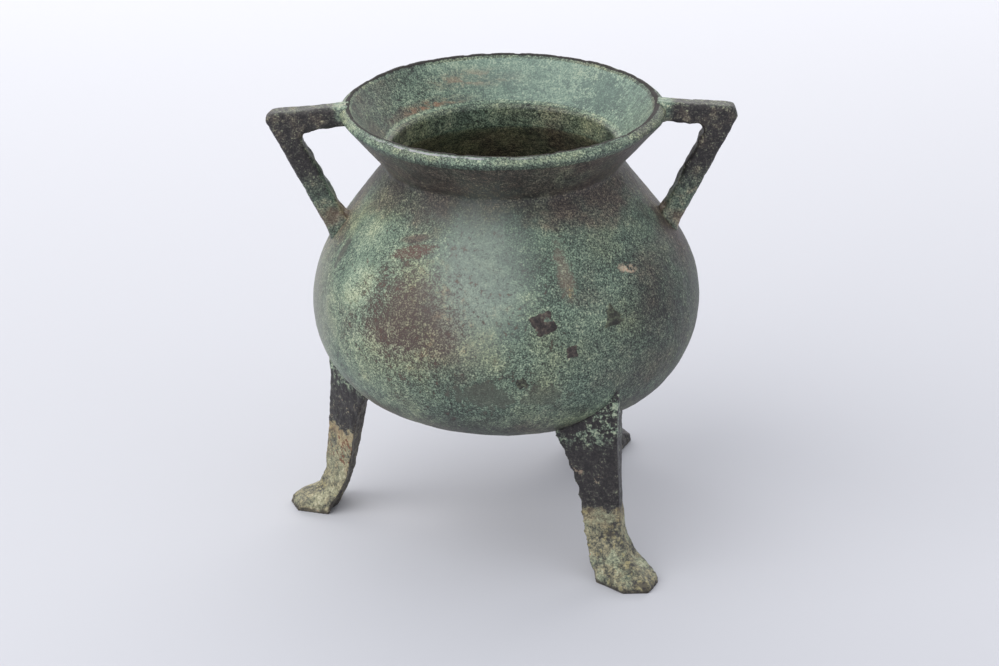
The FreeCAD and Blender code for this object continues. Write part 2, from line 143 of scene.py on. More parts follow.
def waves(points, size, seed, count=28):
    """Smooth random field over points, about -1 to 1, with features of the given size."""
    rng = np.random.default_rng(seed)
    aim = rng.normal(size=(count, 3))
    aim /= np.linalg.norm(aim, axis=1)[:, None]
    pitch = rng.uniform(0.6, 1.5, count)[:, None] * 2.0 * math.pi / size
    phase = rng.uniform(0.0, 2.0 * math.pi, count)
    return np.sin(points @ (aim * pitch).T + phase).sum(1) / math.sqrt(count) * 1.1


def rough(points, size, seed, octaves=3):
    """Waves of falling size and height laid over each other."""
    total = 0.0
    for octave in range(octaves):
        total = total + waves(points, size / 2.1**octave, seed + 31 * octave) * 0.55**octave
    return total


def bell(value, centre, width):
    return np.exp(-((value - centre) / width) ** 2)


def between(value, low, high):
    """0 below low, 1 above high, smooth between."""
    t = np.clip((value - low) / (high - low), 0.0, 1.0)
    return t * t * (3.0 - 2.0 * t)


# ---------------------------------------------------------------- pot

RIM_Z = 0.2302
LIP_R, CREST_R, LIP_ROUND, LIP_THICK = 0.0825, 0.0788, 0.0015, 0.0059
NECK_R, NECK_Z, NECK_ROUND = 0.0611, 0.2000, 0.0040
BELLY_R, BELLY_Z, UPPER_ROUND, LOWER_ROUND, BASE_Z = 0.1000, 0.1250, 0.0626, 0.0550, 0.0608
WALL, BASE_WALL, INNER_LOWER_ROUND = 0.0031, 0.0037, 0.0510
THROAT_R, THROAT_TOP, THROAT_BOTTOM = 0.0580, 0.2085, 0.1979
RIDGE_R, RIDGE_Z = 0.0606, 0.2098
AROUND = 480


def arc(centre, radius, first, last, count):
    """Points of an arc between two angles, the last one left out."""
    turn = np.linspace(first, last, count, endpoint=False)
    return np.stack([centre[0] + radius * np.cos(turn), centre[1] + radius * np.sin(turn)], 1)


def straight(start, end, count):
    share = np.linspace(0.0, 1.0, count, endpoint=False)[:, None]
    return np.asarray(start) * (1.0 - share) + np.asarray(end) * share


def belly_side(base, upper_radius, lower_radius):
    """Centre and radius of the base circle, and the angle where the lower arc takes over."""
    upper_centre = np.array([BELLY_R - UPPER_ROUND, BELLY_Z])
    lower_centre = upper_centre + [upper_radius - lower_radius, 0.0]
    drop = BELLY_Z - base
    big = (lower_centre[0] ** 2 + drop**2 - lower_radius**2) / (2.0 * (drop - lower_radius))
    turn = math.atan2(BELLY_Z - base - big, lower_centre[0])
    return upper_centre, lower_centre, np.array([0.0, base + big]), big, turn


def common_tangent(a, a_radius, b, b_radius, side):
    """Angle of the normal shared by two circles at the ends of their tangent line."""
    gap = np.asarray(b) - np.asarray(a)
    lean = math.acos((a_radius - b_radius) / math.hypot(*gap))
    return math.atan2(gap[1], gap[0]) + side * lean


def on_circle(centre, radius, angle):
    return np.asarray(centre) + radius * np.array([math.cos(angle), math.sin(angle)])


def outer_profile():
    """Half section of the outside, from under the base to the crest of the lip."""
    upper_c, lower_c, base_c, big, turn = belly_side(BASE_Z, UPPER_ROUND, LOWER_ROUND)
    neck_c = (NECK_R + NECK_ROUND, NECK_Z)
    crest_c = (CREST_R, RIM_Z - LIP_ROUND)
    lip_x = LIP_R - LIP_ROUND
    lip_c = (lip_x, crest_c[1] - math.sqrt((LIP_THICK - 2 * LIP_ROUND) ** 2 - (lip_x - CREST_R) ** 2))
    shoulder = common_tangent(upper_c, UPPER_ROUND, neck_c, -NECK_ROUND, -1)
    flare = common_tangent(neck_c, NECK_ROUND, lip_c, -LIP_ROUND, 1)
    face = common_tangent(lip_c, LIP_ROUND, crest_c, LIP_ROUND, -1)
    return np.concatenate([
        arc(base_c, big, -math.pi / 2, turn, 26)[1:],
        arc(lower_c, LOWER_ROUND, turn, 0.0, 32),
        arc(upper_c, UPPER_ROUND, 0.0, shoulder, 20),
        straight(on_circle(upper_c, UPPER_ROUND, shoulder),
                 on_circle(neck_c, -NECK_ROUND, shoulder), 22),
        arc(neck_c, NECK_ROUND, shoulder + math.pi, flare, 6),
        straight(on_circle(neck_c, NECK_ROUND, flare), on_circle(lip_c, -LIP_ROUND, flare), 16),
        arc(lip_c, LIP_ROUND, flare + math.pi - 2 * math.pi, face, 4),
        straight(on_circle(lip_c, LIP_ROUND, face), on_circle(crest_c, LIP_ROUND, face), 3),
        arc(crest_c, LIP_ROUND, face, math.pi / 2, 3),
    ])


def inner_profile():
    """Half section of the inside, from the crest of the lip down to the middle of the floor."""
    base = BASE_Z + BASE_WALL
    upper = UPPER_ROUND - WALL
    upper_c, lower_c, base_c, big, turn = belly_side(base, upper, INNER_LOWER_ROUND)
    crest_c = (CREST_R, RIM_Z - LIP_ROUND)
    mouth = common_tangent(crest_c, LIP_ROUND, (RIDGE_R, RIDGE_Z), 0.0, -1)
    throat_bottom = (THROAT_R, THROAT_BOTTOM)
    shoulder = common_tangent(upper_c, upper, throat_bottom, 0.0, -1)
    return np.concatenate([
        arc(crest_c, LIP_ROUND, math.pi / 2, mouth % (2 * math.pi), 3),
        straight(on_circle(crest_c, LIP_ROUND, mouth), (RIDGE_R, RIDGE_Z), 14),
        straight((RIDGE_R, RIDGE_Z), (THROAT_R, THROAT_TOP), 3),
        straight((THROAT_R, THROAT_TOP), throat_bottom, 6),
        straight(throat_bottom, on_circle(upper_c, upper, shoulder), 10),
        arc(upper_c, upper, shoulder, 0.0, 8),
        arc(lower_c, INNER_LOWER_ROUND, 0.0, turn, 12),
        arc(base_c, big, turn, -math.pi / 2, 12),
    ])


def turned_mesh(name, profile):
    """Closed surface turned about Z from a profile that starts and ends on the axis."""
    angles = np.arange(AROUND) * 2.0 * math.pi / AROUND
    r, z = profile[:, 0], profile[:, 1]
    x = r[:, None] * np.cos(angles)
    y = r[:, None] * np.sin(angles)
    ring = np.stack([x, y, np.repeat(z[:, None], AROUND, 1)], 2).reshape(-1, 3)
    bottom, top = [(0.0, 0.0, BASE_Z)], [(0.0, 0.0, BASE_Z + BASE_WALL)]
    verts = np.concatenate([ring, bottom, top])
    faces = []
    rows = len(profile)
    for row in range(rows - 1):
        low, high = row * AROUND, (row + 1) * AROUND
        for column in range(AROUND):
            after = (column + 1) % AROUND
            faces.append((low + column, low + after, high + after, high + column))
    last = (rows - 1) * AROUND
    for column in range(AROUND):
        after = (column + 1) % AROUND
        faces.append((len(verts) - 2, after, column))
        faces.append((len(verts) - 1, last + column, last + after))
    mesh = bpy.data.meshes.new(name)
    mesh.from_pydata(verts.tolist(), [], faces)
    return mesh


def read_mesh(mesh):
    points = np.empty(len(mesh.vertices) * 3)
    normals = np.empty(len(mesh.vertices) * 3)
    mesh.vertices.foreach_get("co", points)
    mesh.vertices.foreach_get("normal", normals)
    return points.reshape(-1, 3), normals.reshape(-1, 3)


def write_mesh(mesh, points):
    mesh.vertices.foreach_set("co", points.ravel())
    mesh.update()
    mesh.shade_smooth()


def new_piece(name, mesh, slot, *nodes):
    piece = bpy.data.objects.new(name, mesh)
    bpy.context.collection.objects.link(piece)
    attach(piece, "root")
    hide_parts(*nodes)
    return piece


OUTER = outer_profile()
INNER = inner_profile()


def degrees_from(points, azimuth):
    """Signed angle in degrees of each point round the axis, from the given azimuth."""
    angle = np.degrees(np.arctan2(points[:, 1], points[:, 0])) - azimuth
    return (angle + 180.0) % 360.0 - 180.0


def skin_lift(points):
    """How far the cast skin stands off the true turned surface at each point."""
    z = points[:, 2]
    lift = 0.25 + 0.30 * waves(points, 0.075, 11) + 0.09 * waves(points, 0.017, 12)
    lift += 0.035 * rough(points, 0.0045, 13)
    lift += 0.60 * bell(degrees_from(points, -8.0), 0.0, 40.0) * bell(z, 0.112, 0.040)
    lift -= 0.45 * bell(degrees_from(points, -108.0), 0.0, 34.0) * bell(z, 0.075, 0.016)
    pitted = between(waves(points, 0.050, 14), 0.1, 0.9)
    lift -= 0.16 * pitted * between(waves(points, 0.0052, 15), 0.55, 1.1)
    for seam, height in ((-90.0, 0.26), (90.0, 0.22)):
        across = np.radians(degrees_from(points, seam)) * 0.08
        broken = between(waves(points, 0.022, 16), -0.7, 0.5)
        up = between(z, 0.178, 0.192) * (1.0 - between(z, 0.206, 0.214))
        lift += (height * up + 0.06) * broken * bell(across, 0.0, 0.0011)
    return lift * MM


def rim_drift(points):
    """Sideways and upward wander of the mouth, which is neither quite round nor level."""
    mouth = between(points[:, 2], 0.205, RIM_Z)
    ring = points * [1.0, 1.0, 0.0]
    left, right = degrees_from(points, 168.0), degrees_from(points, -8.0)
    high = 0.40 + 0.20 * waves(ring, 0.060, 17) + 0.08 * waves(ring, 0.011, 18)
    high += 0.8 * bell(left, 0.0, 30.0)
    wide = 0.16 * waves(ring, 0.050, 19) + 1.1 * bell(left, 0.0, 32.0)
    wide += 0.5 * bell(right, 0.0, 25.0)
    out = ring / np.linalg.norm(ring + 1e-9, axis=1)[:, None]
    return (mouth * wide * MM)[:, None] * out + np.outer(mouth * high * MM, [0.0, 0.0, 1.0])


def make_pot():
    profile = np.concatenate([OUTER, INNER[:-1]])
    mesh = turned_mesh("pot", profile)
    points, normals = read_mesh(mesh)
    steps = np.hypot(*np.diff(profile, axis=0).T)
    run = np.concatenate([[0.0], np.cumsum(steps)]) - steps[:len(OUTER)].sum()
    along = np.concatenate([np.repeat(run, AROUND), [run[0], run[-1]]])
    inside = between(along, 0.001, 0.004)
    rings = np.sin(points[:, 2] / TURNING_PITCH * 2.0 * math.pi + waves(points, 0.060, 21))
    rings *= 0.12 * inside * (1.0 - between(points[:, 2], 0.19, 0.20))
    nicks = 0.35 * bell(along, 0.0, 0.0035) * between(waves(points, 0.0085, 22), 0.75, 1.25)
    lift = skin_lift(points) + (rings - nicks) * MM
    write_mesh(mesh, points + normals * lift[:, None] + rim_drift(points))
    layer = mesh.attributes.new("from_crest", "FLOAT", "POINT")
    layer.data.foreach_set("value", along)
    return new_piece("pot", mesh, "pot_bronze", "vessel_body")


# ---------------------------------------------------------------- ears and legs

def nearest_skin(points):
    """Distance of each point outside the pot's turned surface, and the way out of it."""
    flat = np.stack([np.hypot(points[:, 0], points[:, 1]), points[:, 2]], 1)
    nearest = np.full(len(flat), 1.0)
    out = np.zeros_like(flat)
    for start, step in zip(OUTER[:-1], np.diff(OUTER, axis=0)):
        share = np.clip((flat - start) @ step / (step @ step), 0.0, 1.0)
        gap = flat - start - share[:, None] * step
        far = np.hypot(*gap.T)
        side = np.array([step[1], -step[0]]) / math.hypot(*step)
        closer = far < np.abs(nearest)
        nearest = np.where(closer, np.copysign(far, gap @ side), nearest)
        out = np.where(closer[:, None], side, out)
    ring = points[:, :2] / np.maximum(flat[:, :1], 1e-6)
    return nearest, np.concatenate([ring * out[:, :1], out[:, 1:]], 1)


def even_copy(node):
    """The surface of a CAD node as an even, slightly softened mesh of its own."""
    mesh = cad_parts[node].data.copy()
    mesh.transform(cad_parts[node].matrix_world)
    mesh.materials.clear()
    welded = bmesh.new()
    welded.from_mesh(mesh)
    bmesh.ops.remove_doubles(welded, verts=welded.verts, dist=1e-6)
    welded.to_mesh(mesh)
    welded.free()
    holder = bpy.data.objects.new("even_copy", mesh)
    bpy.context.collection.objects.link(holder)
    remesh = holder.modifiers.new("even", "REMESH")
    remesh.mode = "VOXEL"
    remesh.voxel_size = CAST_GRID
    soften = holder.modifiers.new("soften", "SMOOTH")
    soften.factor = 0.5
    soften.iterations = 3
    graph = bpy.context.evaluated_depsgraph_get()
    even = bpy.data.meshes.new_from_object(holder.evaluated_get(graph))
    bpy.data.objects.remove(holder)
    return even


def join_to_pot(points, normals, spread, swell):
    """Cast fillet: swell towards the pot's wall, and sink the meeting face into it."""
    gap, out = nearest_skin(points)
    sideways = normals - (normals * out).sum(1)[:, None] * out
    flare = swell * np.exp(-np.maximum(gap, 0.0) / spread)
    sunk = (1.0 - between(gap, 0.0, 0.0012)) * ROOT_SINK_MM * MM
    return points + sideways * flare[:, None] - out * sunk[:, None]


def make_ear(side, seed):
    """Ear bar with the lumps and pits of its casting, roughest round the eye."""
    node = f"handle_{side}"
    mesh = even_copy(node)
    points, normals = read_mesh(mesh)
    towards_pot = -normals[:, 0] * np.sign(points[:, 0])
    eye = between(towards_pot, 0.2, 0.6) + between(-normals[:, 2], 0.5, 0.9)
    lift = 0.16 * waves(points, 0.016, seed) + 0.06 * rough(points, 0.005, seed + 1)
    lift += eye * 0.30 * waves(points, 0.0085, seed + 2)
    lift -= 0.22 * between(waves(points, 0.0042, seed + 3), 0.7, 1.2)
    joined = join_to_pot(points, normals, 2.6 * MM, 2.0 * MM)
    write_mesh(mesh, joined + normals * lift[:, None] * MM)
    return new_piece(f"ear_{side}", mesh, "ear_bronze", node)


def make_leg(side, azimuth, toe_turn, seed):
    """Leg with a lumpy ridge, chipped side edges and a blunt toe that turns a little."""
    node = f"leg_{side}"
    mesh = even_copy(node)
    points, normals = read_mesh(mesh)
    turn = math.radians(azimuth)
    outward = np.array([math.cos(turn), math.sin(turn), 0.0])
    across = np.array([-math.sin(turn), math.cos(turn), 0.0])
    lift = 0.20 * waves(points, 0.018, seed) + 0.08 * rough(points, 0.0055, seed + 1)
    chipped = between(np.abs(points @ across), 0.0105, 0.0135)
    lift += chipped * 0.32 * waves(points, 0.0075, seed + 2)
    lift -= 0.25 * between(waves(points, 0.0046, seed + 3), 0.65, 1.15)
    lift *= between(points[:, 2], 0.0002, 0.0022)
    joined = join_to_pot(points, normals, 3.4 * MM, 2.0 * MM)
    toe = between(points @ outward, 0.098, 0.121) * (1.0 - between(points[:, 2], 0.006, 0.022))
    joined += np.outer(toe * toe_turn, across) + normals * lift[:, None] * MM
    joined[:, 2] = np.maximum(joined[:, 2], 0.0)
    write_mesh(mesh, joined)
    return new_piece(f"{side}_leg", mesh, "leg_bronze", node)


# ---------------------------------------------------------------- chaplets

def make_chaplet(node, corners, reach, spin, seed):
    """Scrap of sheet in the wall: a ragged plate that stands a little proud of the skin."""
    low, high = (np.array(corner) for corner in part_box(node))
    middle = (low + high) / 2.0
    gap, out = nearest_skin(middle[None, :])
    normal = out[0]
    centre = middle - gap[0] * normal
    right = np.cross([0.0, 0.0, 1.0], normal)
    right /= np.linalg.norm(right)
    up = np.cross(normal, right)
    rings, spokes = 10, 64
    angle = np.arange(spokes) * 2.0 * math.pi / spokes
    sector = 2.0 * math.pi / corners
    edge = math.cos(sector / 2.0) / np.cos((angle + math.radians(spin)) % sector - sector / 2.0)
    spoke = np.stack([np.cos(angle), np.sin(angle), np.full(spokes, seed)], 1)
    edge = edge + 0.05 * waves(spoke, 1.4, seed) + 0.04 * waves(spoke, 0.35, seed + 1)
    shares = np.linspace(0.0, 1.0, rings + 1)[1:]
    plan = shares[:, None, None] * (spoke[:, :2] * edge[:, None] * reach)[None]
    plan = np.concatenate([plan.reshape(-1, 2), [[0.0, 0.0]]])
    flat = centre + plan[:, :1] * right + plan[:, 1:] * up
    gap, out = nearest_skin(flat)
    flat = flat - gap[:, None] * out
    skin = flat + out * skin_lift(flat)[:, None]
    share = np.concatenate([np.repeat(shares, spokes), [0.0]])
    crust = 0.05 * rough(flat, 0.0030, seed + 2)
    proud = SCRAP_PROUD_MM * (1.0 - between(share, 0.86, 1.0)) + crust * (share < 0.95) - 0.02
    top = skin + out * (proud * MM)[:, None]
    below = skin - out * (SCRAP_DEPTH_MM * MM)
    count = len(top)
    faces = []
    for ring in range(rings - 1):
        for column in range(spokes):
            a, b = ring * spokes + column, ring * spokes + (column + 1) % spokes
            faces.append((a, a + spokes, b + spokes, b))
            faces.append((count + a, count + b, count + b + spokes, count + a + spokes))
    last = (rings - 1) * spokes
    for column in range(spokes):
        after = (column + 1) % spokes
        faces.append((count - 1, column, after))
        faces.append((2 * count - 1, count + after, count + column))
        faces.append((last + column, count + last + column, count + last + after, last + after))
    mesh = bpy.data.meshes.new(node)
    mesh.from_pydata(np.concatenate([top, below]).tolist(), [], faces)
    mesh.shade_smooth()
    return new_piece(f"{node}_scrap", mesh, "chaplet_bronze", node)


# ---------------------------------------------------------------- materials

def tint(red, green, blue):
    """Display colour out of 255 as the linear colour that a shader takes."""
    parts = [value / 255.0 for value in (red, green, blue)]
    linear = [p / 12.92 if p <= 0.04045 else ((p + 0.055) / 1.055) ** 2.4 for p in parts]
    return (*linear, 1.0)


TEAL = [(0.00, tint(29, 30, 28)), (0.22, tint(49, 56, 50)), (0.42, tint(79, 95, 83)),
        (0.60, tint(110, 131, 113)), (0.78, tint(146, 164, 141)), (1.00, tint(190, 199, 172))]
MOSS = [(0.00, tint(32, 30, 26)), (0.22, tint(56, 58, 47)), (0.42, tint(88, 94, 75)),
        (0.60, tint(121, 128, 102)), (0.78, tint(158, 165, 128)), (1.00, tint(199, 196, 156))]
BROWN = [(0.00, tint(32, 28, 27)), (0.22, tint(54, 47, 44)), (0.42, tint(82, 73, 65)),
         (0.60, tint(110, 101, 88)), (0.78, tint(146, 139, 116)), (1.00, tint(190, 182, 150))]
SOOT = [(0.00, tint(20, 18, 19)), (0.30, tint(35, 32, 33)), (0.52, tint(52, 48, 48)),
        (0.68, tint(80, 80, 72)), (0.82, tint(120, 126, 106)), (1.00, tint(176, 178, 148))]
LIME = [(0.00, tint(38, 36, 36)), (0.25, tint(66, 65, 61)), (0.42, tint(102, 102, 87)),
        (0.58, tint(142, 136, 110)), (0.78, tint(178, 169, 136)), (1.00, tint(206, 196, 168))]


class Patina:
    """Builds one material's nodes. Places and sizes are metres in the frame."""

    def __init__(self, name):
        self.material = bpy.data.materials.new(name)
        self.material.use_nodes = True
        self.nodes = self.material.node_tree.nodes
        self.shader = self.nodes["Principled BSDF"]
        coordinates = self.nodes.new("ShaderNodeTexCoord")
        self.place = coordinates.outputs["Object"]
        self.facing = coordinates.outputs["Normal"]

    def feed(self, socket, value):
        if isinstance(value, bpy.types.NodeSocket):
            self.material.node_tree.links.new(value, socket)
        else:
            socket.default_value = value

    def maths(self, operation, *values):
        node = self.nodes.new("ShaderNodeMath")
        node.operation = operation
        for socket, value in zip(node.inputs, values):
            self.feed(socket, value)
        return node.outputs[0]

    def total(self, start, *terms):
        """start plus each (value, weight)."""
        result = start
        for value, weight in terms:
            result = self.maths("MULTIPLY_ADD", value, weight, result)
        return result

    def noise(self, size, detail=2.0, rough=0.5, place=None):
        """Random field about zero, mostly between -0.3 and 0.3."""
        node = self.nodes.new("ShaderNodeTexNoise")
        self.feed(node.inputs["Vector"], place or self.place)
        node.inputs["Scale"].default_value = 1.0 / size
        node.inputs["Detail"].default_value = detail
        node.inputs["Roughness"].default_value = rough
        return self.maths("SUBTRACT", node.outputs["Fac"], 0.5)

    def span(self, value, low, high):
        """0 at low, 1 at high, smooth between; low may be the larger."""
        node = self.nodes.new("ShaderNodeMapRange")
        node.interpolation_type = "SMOOTHSTEP"
        self.feed(node.inputs["Value"], value)
        if low < high:
            edges = (low, high, 0.0, 1.0)
        else:
            edges = (high, low, 1.0, 0.0)
        for socket, edge in zip(node.inputs[1:5], edges):
            socket.default_value = edge
        return node.outputs[0]

    def band(self, value, low, high, soft):
        """1 between low and high, fading over soft on both sides."""
        rise = self.span(value, low - soft, low + soft)
        fall = self.span(value, high + soft, high - soft)
        return self.maths("MULTIPLY", rise, fall)

    def ramp(self, value, stops):
        node = self.nodes.new("ShaderNodeValToRGB")
        self.feed(node.inputs["Fac"], value)
        elements = node.color_ramp.elements
        for index, (place, colour) in enumerate(stops):
            spare = elements[index] if index < 2 else elements.new(place)
            spare.position = place
            spare.color = colour
        return node.outputs["Color"]

    def mix(self, under, over, share):
        node = self.nodes.new("ShaderNodeMix")
        node.data_type = "RGBA"
        self.feed(node.inputs["Factor"], share)
        self.feed(node.inputs[6], under)
        self.feed(node.inputs[7], over)
        return node.outputs[2]

    def moved(self, centre, azimuth, tilt, halves):
        """Place measured from centre along out, across and up, in units of halves."""
        node = self.nodes.new("ShaderNodeMapping")
        node.vector_type = "TEXTURE"
        self.feed(node.inputs["Vector"], self.place)
        node.inputs["Location"].default_value = centre
        node.inputs["Rotation"].default_value = (math.radians(tilt), 0.0, math.radians(azimuth))
        node.inputs["Scale"].default_value = halves
        return node.outputs[0]

    def length(self, vector):
        node = self.nodes.new("ShaderNodeVectorMath")
        node.operation = "LENGTH"
        self.feed(node.inputs[0], vector)
        return node.outputs["Value"]

    def towards(self, vector, azimuth, climb=0.0):
        """How far a vector reaches in the level direction of an azimuth, plus its climb."""
        node = self.nodes.new("ShaderNodeVectorMath")
        node.operation = "DOT_PRODUCT"
        self.feed(node.inputs[0], vector)
        turn = math.radians(azimuth)
        node.inputs[1].default_value = (math.cos(turn), math.sin(turn), climb)
        return node.outputs["Value"]

    def height(self):
        node = self.nodes.new("ShaderNodeSeparateXYZ")
        self.feed(node.inputs[0], self.place)
        return node.outputs["Z"]

    def spot(self, azimuth, z, wide, tall, grain, ragged=0.8, soft=0.25, tilt=0.0, radius=None):
        """Ragged patch on the pot's wall; wide and tall are its half sizes in mm."""
        if radius is None:
            radius = float(np.interp(z * MM, OUTER[:, 1], OUTER[:, 0]))
        turn = math.radians(azimuth)
        centre = (radius * math.cos(turn), radius * math.sin(turn), z * MM)
        local = self.moved(centre, azimuth, tilt, (0.03, wide * MM, tall * MM))
        reach = self.total(0.0, (self.length(local), 1.0), (grain, ragged))
        return self.span(reach, 1.0 + soft, 1.0 - soft)

    def finish(self, colour, roughness, relief, depth):
        """Ends the tree: depth is how deep the relief is, in metres."""
        self.feed(self.shader.inputs["Base Color"], colour)
        self.feed(self.shader.inputs["Roughness"], roughness)
        bump = self.nodes.new("ShaderNodeBump")
        bump.inputs["Distance"].default_value = depth
        self.feed(bump.inputs["Height"], relief)
        self.feed(self.shader.inputs["Normal"], bump.outputs[0])
        return self.material


def pot_patina():
    """Green patina over dark bronze, speckled, with brown and grey patches; painted highlights on the
    belly, lip and throat ridge, and painted shade on the right.
    """
    m = Patina("pot_patina")
    fine = m.noise(0.0008, 2.0, 0.6)
    grit = m.noise(0.0021, 3.0, 0.6)
    clump = m.noise(0.0085, 4.0, 0.65)
    cloud = m.noise(0.034, 3.0, 0.55)
    drift = m.noise(0.075, 2.0, 0.5)
    hues = m.noise(0.026, 3.0, 0.6, m.moved((0.5, 0.2, 0.1), 0.0, 0.0, (1.0, 1.0, 1.0)))
    upright = m.noise(0.0026, 2.0, 0.5, m.moved((0.0, 0.0, 0.0), 0.0, 0.0, (1.0, 1.0, 11.0)))
    level = m.noise(0.0022, 3.0, 0.55, m.moved((0.0, 0.0, 0.0), 0.0, 0.0, (7.0, 1.5, 1.0)))
    z = m.height()
    crest = m.nodes.new("ShaderNodeAttribute")
    crest.attribute_name = "from_crest"
    along = m.total(crest.outputs["Fac"], (grit, 0.0010), (clump, 0.0014))
    wavy_z = m.total(z, (cloud, 0.035), (clump, 0.016))
    grain = m.total(0.0, (fine, 1.0), (grit, 1.2), (clump, 1.3))
    crisp = m.total(0.0, (clump, 1.0), (grit, 0.5))

    outside = m.span(along, -0.0080, -0.0090)
    inside = m.span(along, 0.0022, 0.0032)
    neck = m.maths("MULTIPLY", m.span(wavy_z, 0.180, 0.198), outside)
    under = m.maths("MULTIPLY", m.span(wavy_z, 0.100, 0.078), outside)
    # Darker and browner towards the right side: partly the pot's own dark brown-grey colour, partly
    # painted shade on the side away from the key light.
    right = m.span(m.total(0.0, (m.towards(m.place, -8.0), 1.0), (cloud, 0.04)), 0.050, 0.096)
    left = m.span(m.total(0.0, (m.towards(m.place, -178.0), 1.0), (clump, 0.012)), 0.086, 0.099)
    left_half = m.maths("MULTIPLY", m.span(m.towards(m.place, -165.0), 0.055, 0.092), outside)
    lip = m.band(along, -0.0048, -0.0012, 0.0012)
    lip_low = m.band(along, -0.0088, -0.0056, 0.0010)
    edge = m.band(along, -0.0006, 0.0014, 0.0003)
    # Painted glint: a pale grey-violet band on the crest of the lip at the front left, which is also
    # made smoother there.
    painted_crest_glint = m.maths("MULTIPLY", m.band(along, -0.0020, -0.0011, 0.0003),
                   m.spot(-112.0, 229.0, 46.0, 60.0, clump, 0.7, 0.4, 0.0, 0.080))
    # Painted highlight: the throat ridge is made lighter, as a bright line along its rounded edge.
    ridge = m.band(along, 0.0266, 0.0277, 0.0004)
    throat = m.band(along, 0.0284, 0.0400, 0.0006)
    belly_in = m.span(along, 0.0385, 0.0440)
    flare = m.band(along, 0.0030, 0.0262, 0.0005)

    # Painted highlight: a lighter, grey-blue, less brown and less mossy patch on the front of the
    # belly.
    painted_highlight = m.spot(-99.0, 168.0, 24.0, 36.0, grain, 0.5, 0.55)
    blotch = m.spot(-121.0, 147.0, 27.0, 20.0, grain, 0.9, 0.55)
    blotch_heart = m.spot(-121.0, 145.0, 21.0, 13.0, clump, 1.6, 0.5)
    scatter = m.spot(-113.0, 149.0, 42.0, 34.0, grain, 1.4, 0.6)
    pale = m.spot(-144.0, 155.0, 12.0, 11.0, grain, 0.9, 0.35)
    pale_high = m.spot(-150.0, 176.0, 15.0, 10.0, grain, 1.2, 0.5)
    lens = m.spot(-126.5, 175.0, 11.5, 2.6, grain, 0.6, 0.3, 16.0)
    faint = m.spot(-128.0, 180.3, 9.0, 1.8, grain, 0.9, 0.4, 14.0)
    comma = m.spot(-161.0, 163.0, 3.0, 7.0, crisp, 1.6, 0.35, 14.0)
    flake = m.spot(-97.0, 109.5, 15.0, 7.5, crisp, 2.6, 0.10)
    flake_tail = m.spot(-79.0, 108.5, 13.0, 5.5, crisp, 2.6, 0.14)
    streak = m.spot(-69.5, 169.0, 3.4, 10.0, grain, 2.0, 0.6)
    tan_fleck = m.spot(-69.0, 159.5, 2.2, 3.4, grain, 2.6, 0.3)
    scar = m.maths("MULTIPLY", m.spot(-45.0, 163.5, 4.8, 1.8, crisp, 3.5, 0.3, -14.0),
                   m.span(crisp, -0.16, 0.02))
    scar_heart = m.maths("MULTIPLY", scar, m.span(fine, 0.02, 0.16))
    halo = m.spot(-45.5, 167.0, 8.0, 4.0, grain, 1.5, 0.5)
    crust = m.spot(-74.0, 188.0, 5.0, 7.0, grain, 1.8, 0.5)
    shade_right = m.spot(-42.0, 146.0, 12.0, 14.0, grain, 1.3, 0.5)
    ear_stain = m.maths("ADD", m.spot(180.0, 170.0, 17.0, 24.0, clump, 1.5, 0.5),
                        m.spot(0.0, 168.0, 17.0, 24.0, clump, 1.5, 0.5))

    # Speckle contrast is lowered inside the painted highlight.
    painted_highlight_calm = m.maths("MULTIPLY_ADD", painted_highlight, -0.45, 1.0)
    specks = m.maths("MULTIPLY", m.total(0.0, (fine, 1.75), (grit, 0.85)), painted_highlight_calm)
    tone = m.total(0.485, (specks, 1.0), (clump, 0.48), (cloud, 0.40), (drift, 0.26),
                   (neck, -0.17), (under, -0.14), (right, -0.15), (lip, 0.05),
                   (lip_low, -0.12), (inside, 0.06),
                   (belly_in, 0.04), (throat, -0.03), (ridge, 0.15), (painted_highlight, 0.095),
                   (blotch, -0.09), (scatter, -0.03), (pale, 0.20), (pale_high, 0.12),
                   (crust, 0.16), (shade_right, -0.08), (streak, 0.10), (edge, -0.22),
                   (left_half, 0.12), (flake, -0.06), (halo, -0.09))
    streaky = m.total(0.0, (level, 1.0), (grit, 0.5), (clump, 0.5))
    rust_low = m.spot(128.0, 212.6, 26.0, 3.0, streaky, 1.8, 0.6, 0.0, 0.063)
    rust_high = m.spot(103.0, 221.0, 25.0, 4.4, streaky, 1.8, 0.6, 0.0, 0.071)
    rust_in = m.maths("MULTIPLY", flare, m.maths("MAXIMUM", rust_low, rust_high))
    mottle = m.maths("MULTIPLY", flare, m.spot(40.0, 219.0, 17.0, 9.0, grain, 2.6, 0.4, 0.0, 0.070))
    grey_in = m.maths("MULTIPLY", flare, m.span(m.towards(m.place, 185.0), 0.032, 0.066))
    warm = m.maths("MULTIPLY", rust_in, m.span(streaky, -0.06, 0.20))
    bright = m.maths("MULTIPLY", flare, m.span(m.towards(m.place, 62.0), 0.02, 0.07))
    tone = m.total(tone, (mottle, -0.24), (grey_in, -0.15), (upright, 0.10),
                   (m.maths("MULTIPLY", inside, level), 0.45), (bright, 0.05))
    brown = m.total(0.10, (hues, 1.5), (grit, 0.5), (fine, 0.4), (neck, 0.50), (under, 0.26),
                    (right, 0.26), (lip, -0.10), (belly_in, 0.42), (throat, 0.15), (flare, -0.20),
                    (painted_highlight, -0.30), (blotch, 0.34), (scatter, 0.22), (pale, -0.30), (faint, 0.5),
                    (ear_stain, 0.45), (rust_in, 0.60), (grey_in, 0.50), (streak, 0.40), (flake, 0.15))
    moss = m.total(0.20, (cloud, 2.2), (hues, -0.8), (pale, 0.35), (under, 0.30), (scatter, 0.35),
                   (lip, 0.20), (painted_highlight, -0.45), (throat, 0.35), (belly_in, 0.5), (flare, -0.35))
